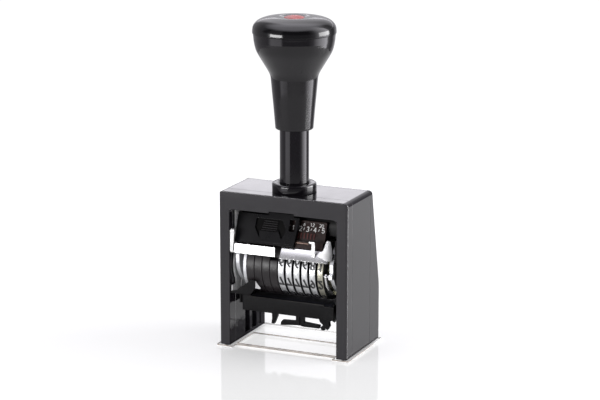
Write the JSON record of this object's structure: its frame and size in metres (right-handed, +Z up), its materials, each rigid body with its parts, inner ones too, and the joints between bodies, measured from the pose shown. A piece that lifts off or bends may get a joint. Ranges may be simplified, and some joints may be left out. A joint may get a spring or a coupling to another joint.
{
  "type": "desk numbering machine",
  "caption": "Hand-pressed desk numbering machine: plunger knob over an open black housing with turning number wheels, a swing-away ink pad and a repeat selector.",
  "frame": {"origin": "on the plunger axis, in the plane of the base plate's underside", "axes": "+Z up along the plunger, +Y to the back of the machine, +X to its right when the window faces the reader"},
  "size_m": [0.0696, 0.0473, 0.1625],
  "materials": {
    "clear_plastic": "clear moulded plastic",
    "black_gloss": "glossy black plastic",
    "red_inlay": "red plastic",
    "black_satin": "satin black plastic",
    "steel": "satin steel",
    "chrome": "bright plated",
    "blank_rings": "dark satin",
    "wheel_metal": "satin nickel",
    "olive_steel": "oiled dark steel",
    "scale_brown": "dark brown black",
    "roller_brass": "dull brass",
    "ink_felt": "inked felt"
  },
  "bodies": {
    "housing": {"base_plate": "clear_plastic", "base_screws": "steel", "front_frame": "black_gloss", "housing_shell": "black_gloss", "rear_cover": "black_gloss", "guide_collar": "black_gloss", "spring_hooks": "steel"},
    "carriage": {"plunger_shaft": "black_gloss", "knob_grip": "black_gloss", "knob_cap": "black_gloss", "cap_inlay": "red_inlay", "shaft_pin": "steel", "carriage_bridge": "black_satin", "side_plate_left": "steel", "side_plate_right": "black_satin", "end_cheek_left": "chrome", "end_cheek_right": "chrome", "flange_ring": "chrome", "blank_ring_1": "blank_rings", "blank_ring_2": "blank_rings", "blank_ring_3": "blank_rings", "blank_ring_4": "blank_rings", "wheel_axle": "steel", "front_bar": "chrome", "wheel_shield": "chrome", "bar_link": "chrome", "corner_bracket": "black_satin", "bracket_clip": "chrome", "scale_plate": "scale_brown", "index_comb": "scale_brown", "index_roller": "roller_brass", "hook_tab": "chrome", "return_spring_left": "steel", "return_spring_right": "steel", "pawl_pin": "steel"},
    "wheel_1": {"number_wheel_1": "wheel_metal"},
    "wheel_2": {"number_wheel_2": "wheel_metal"},
    "wheel_3": {"number_wheel_3": "wheel_metal"},
    "wheel_4": {"number_wheel_4": "wheel_metal"},
    "wheel_5": {"number_wheel_5": "wheel_metal"},
    "wheel_6": {"number_wheel_6": "wheel_metal", "ratchet_wheel": "olive_steel"},
    "pawl": {"drive_pawl": "chrome"},
    "selector": {"selector_slider": "black_satin"},
    "ink_arm": {"pad_holder": "black_satin", "ink_pad": "ink_felt", "pad_arm_left": "black_satin", "pad_arm_right": "black_satin", "cam_pin_left": "steel", "cam_pin_right": "steel", "pad_pull_tab": "black_satin", "pad_latch_left": "black_satin", "pad_latch_right": "black_satin"}
  },
  "joints": [
    {"name": "plunger_slide", "type": "slide", "parent": "housing", "child": "carriage", "axis": [0, 0, -1], "range_m": [0, 0.0254], "stiffness_N_per_m": 300, "springref_m": -0.02, "deforming": ["return_spring_left", "return_spring_right"]},
    {"name": "wheel_1_turn", "type": "hinge", "parent": "carriage", "child": "wheel_1", "pos_m": [-0.00155, 0.002, 0.0407], "axis": [1, 0, 0], "continuous": true},
    {"name": "wheel_2_turn", "type": "hinge", "parent": "carriage", "child": "wheel_2", "pos_m": [0.00254, 0.002, 0.0407], "axis": [1, 0, 0], "continuous": true},
    {"name": "wheel_3_turn", "type": "hinge", "parent": "carriage", "child": "wheel_3", "pos_m": [0.00663, 0.002, 0.0407], "axis": [1, 0, 0], "continuous": true},
    {"name": "wheel_4_turn", "type": "hinge", "parent": "carriage", "child": "wheel_4", "pos_m": [0.01072, 0.002, 0.0407], "axis": [1, 0, 0], "continuous": true},
    {"name": "wheel_5_turn", "type": "hinge", "parent": "carriage", "child": "wheel_5", "pos_m": [0.01481, 0.002, 0.0407], "axis": [1, 0, 0], "continuous": true},
    {"name": "wheel_6_turn", "type": "hinge", "parent": "carriage", "child": "wheel_6", "pos_m": [0.0189, 0.002, 0.0407], "axis": [1, 0, 0], "continuous": true},
    {"name": "pad_swing", "type": "hinge", "parent": "carriage", "child": "ink_arm", "pos_m": [0, 0.002, 0.0407], "axis": [1, 0, 0], "range_deg": [0, 90]},
    {"name": "pawl_lift", "type": "hinge", "parent": "carriage", "child": "pawl", "pos_m": [0.02215, -0.0122, 0.0406], "axis": [1, 0, 0], "range_deg": [-12, 0], "stiffness_Nm_per_rad": 0.002, "springref_deg": 11.46},
    {"name": "selector_slide", "type": "slide", "parent": "carriage", "child": "selector", "axis": [1, 0, 0], "range_m": [0, 0.0155]}
  ],
  "couplings": [
    {"joint": "pad_swing", "follows": "plunger_slide", "rad_per_m": 61.8}
  ]
}
